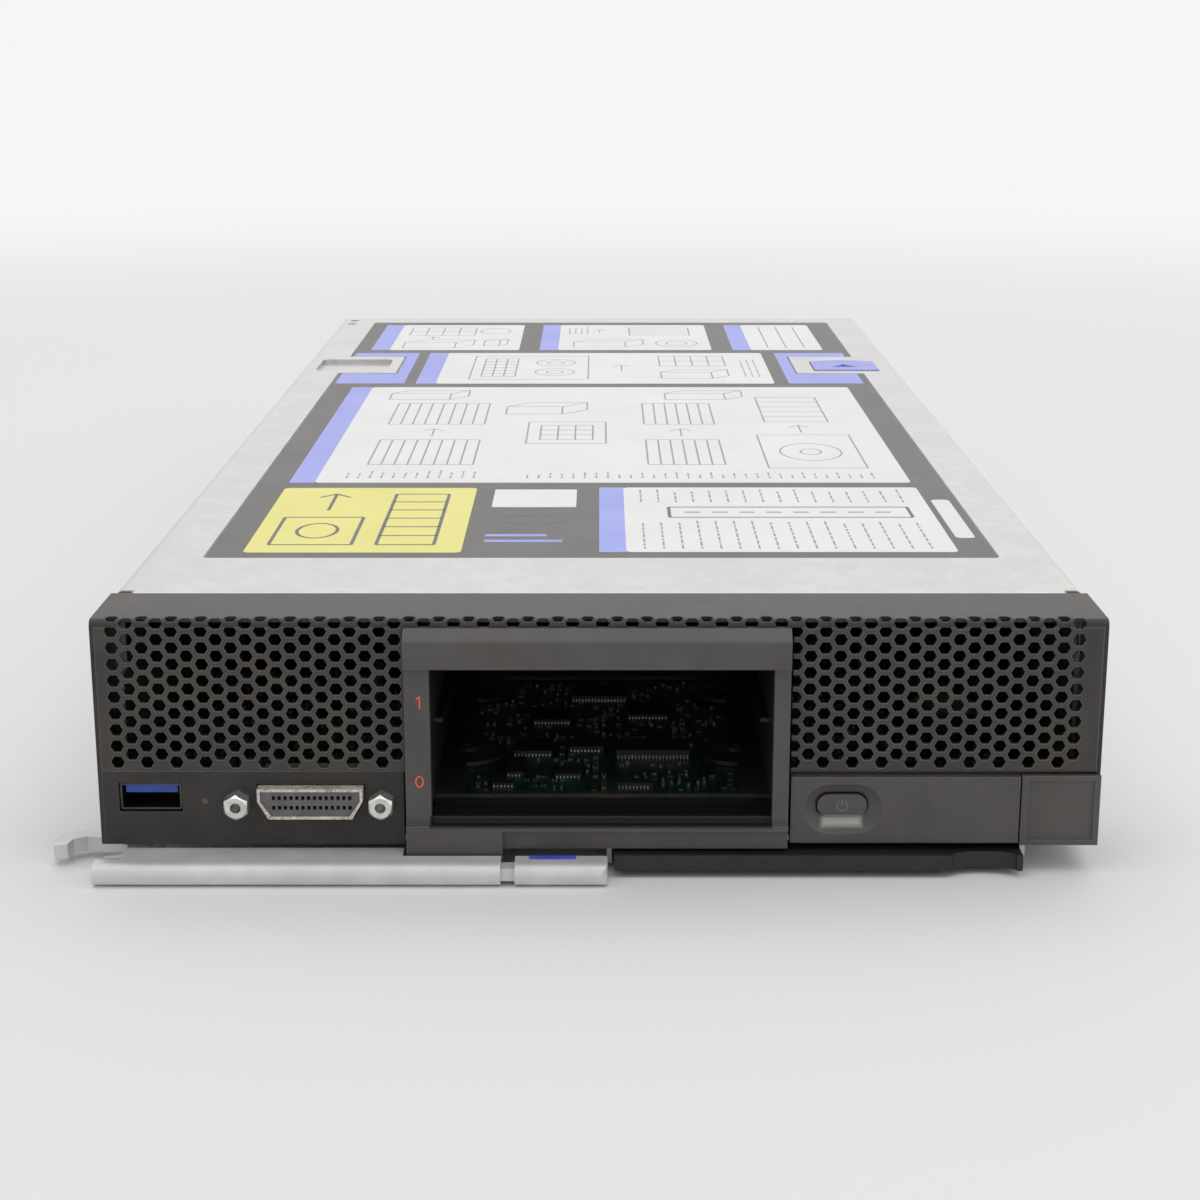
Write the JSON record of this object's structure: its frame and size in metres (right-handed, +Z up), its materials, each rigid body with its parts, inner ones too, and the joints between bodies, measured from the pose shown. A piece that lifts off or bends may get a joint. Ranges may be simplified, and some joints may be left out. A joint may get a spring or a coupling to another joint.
{
  "type": "half-wide blade server",
  "caption": "Half-wide rack blade server: steel pan and sliding cover, vented bezel with drive bay, die-cast rear frame, hinged release handle.",
  "frame": {"origin": "middle of the flat underside of the base pan", "axes": "+Z up, +Y from the bezel towards the rear connectors, +X to the right as seen from the front"},
  "size_m": [0.2273, 0.4938, 0.0563],
  "materials": {
    "pan_steel": "galvanised sheet, satin",
    "cover_steel": "galvanised sheet, satin",
    "cast_zinc": "die cast, champagne passivated",
    "plated_steel": "nickel or zinc plated",
    "circuit_board": "green solder mask",
    "bezel_paint": "charcoal fine-texture powder coat",
    "bezel_plastic": "charcoal moulded, fine spark texture",
    "led_lens": "clear light pipe",
    "blue_plastic": "periwinkle moulded",
    "grey_plastic": "grey moulded",
    "black_plastic": "black moulded",
    "black_steel": "black coated sheet",
    "fin_aluminium": "plain aluminium",
    "contact_gold": "gold plated contacts",
    "handle_metal": "silver metallic coat",
    "label_film": "printed polyester film"
  },
  "bodies": {
    "chassis": {"base_tray": "pan_steel", "rear_casting": "cast_zinc", "casting_bars": "cast_zinc", "casting_columns": "cast_zinc", "casting_rivets": "plated_steel", "tray_screws": "plated_steel", "mainboard": "circuit_board", "board_standoffs": "plated_steel", "board_screws": "plated_steel", "bezel_band": "bezel_paint", "grilles": "bezel_paint", "fascia_left": "bezel_paint", "fascia_right": "bezel_paint", "bay_frame": "bezel_plastic", "operator_panel": "bezel_plastic", "label_plate": "bezel_plastic", "status_led": "led_lens", "usb_shell": "plated_steel", "usb_tongue": "blue_plastic", "kvm_shell": "plated_steel", "kvm_insert": "grey_plastic", "kvm_standoffs": "plated_steel", "drive_cage": "black_steel", "cage_screws": "black_steel", "drive_backplane": "circuit_board", "backplane_connectors": "black_plastic", "processor_sockets": "black_plastic", "processors": "plated_steel", "heatsinks": "fin_aluminium", "heatsink_screws": "plated_steel", "memory_sockets": "black_plastic", "memory_modules": "circuit_board", "power_chokes": "grey_plastic", "capacitors": "fin_aluminium", "board_chips": "black_plastic", "chipset_heatsink": "black_steel", "push_pins": "black_plastic", "push_pin_springs": "plated_steel", "mezzanine_connectors": "black_plastic", "battery_holder": "black_plastic", "coin_cell": "plated_steel", "signal_connector": "grey_plastic", "power_connector": "grey_plastic", "power_contacts": "contact_gold", "guide_tube": "plated_steel", "ribbed_post": "grey_plastic", "latch_posts": "grey_plastic", "interlock_spring": "plated_steel", "handle_pivot": "plated_steel", "tab_rails": "pan_steel"},
    "cover": {"top_cover": "cover_steel", "cover_label": "label_film"},
    "cover_release_button": {"cover_button": "blue_plastic"},
    "handle": {"release_handle": "handle_metal"},
    "handle_end": {"handle_latch": "handle_metal"},
    "power_key": {"power_button": "bezel_plastic"},
    "pull_tab": {"info_tab": "black_plastic"},
    "left_latch": {"latch_left": "blue_plastic"},
    "right_latch": {"latch_right": "blue_plastic"},
    "interlock": {"interlock_slider": "plated_steel"}
  },
  "joints": [
    {"name": "cover_slide", "type": "slide", "parent": "chassis", "child": "cover", "axis": [0, 1, 0], "range_m": [0, 0.012]},
    {"name": "cover_release", "type": "slide", "parent": "cover", "child": "cover_release_button", "axis": [0, 0, -1], "range_m": [0, 0.0014], "stiffness_N_per_m": 1500, "springref_m": -0.0004},
    {"name": "handle_pivot", "type": "hinge", "parent": "chassis", "child": "handle", "pos_m": [-0.1, -0.235, -0.003], "axis": [0, 0, -1], "range_deg": [0, 85]},
    {"name": "handle_latch_slide", "type": "slide", "parent": "handle", "child": "handle_end", "axis": [-1, 0, 0], "range_m": [0, 0.0026], "stiffness_N_per_m": 400, "springref_m": -0.001},
    {"name": "power_press", "type": "slide", "parent": "chassis", "child": "power_key", "axis": [0, 1, 0], "range_m": [0, 0.001], "stiffness_N_per_m": 800, "springref_m": -0.0005},
    {"name": "tab_pull", "type": "slide", "parent": "chassis", "child": "pull_tab", "axis": [0, -1, 0], "range_m": [0, 0.045]},
    {"name": "latch_left_turn", "type": "hinge", "parent": "chassis", "child": "left_latch", "pos_m": [0.097, 0.224, 0.03], "axis": [0, 0, 1], "range_deg": [0, 90]},
    {"name": "latch_right_turn", "type": "hinge", "parent": "chassis", "child": "right_latch", "pos_m": [-0.0215, 0.223, 0.03], "axis": [0, 0, 1], "range_deg": [0, 90]},
    {"name": "interlock_slide", "type": "slide", "parent": "chassis", "child": "interlock", "axis": [0, 0, -1], "range_m": [0, 0.001], "stiffness_N_per_m": 200, "springref_m": -0.001}
  ]
}
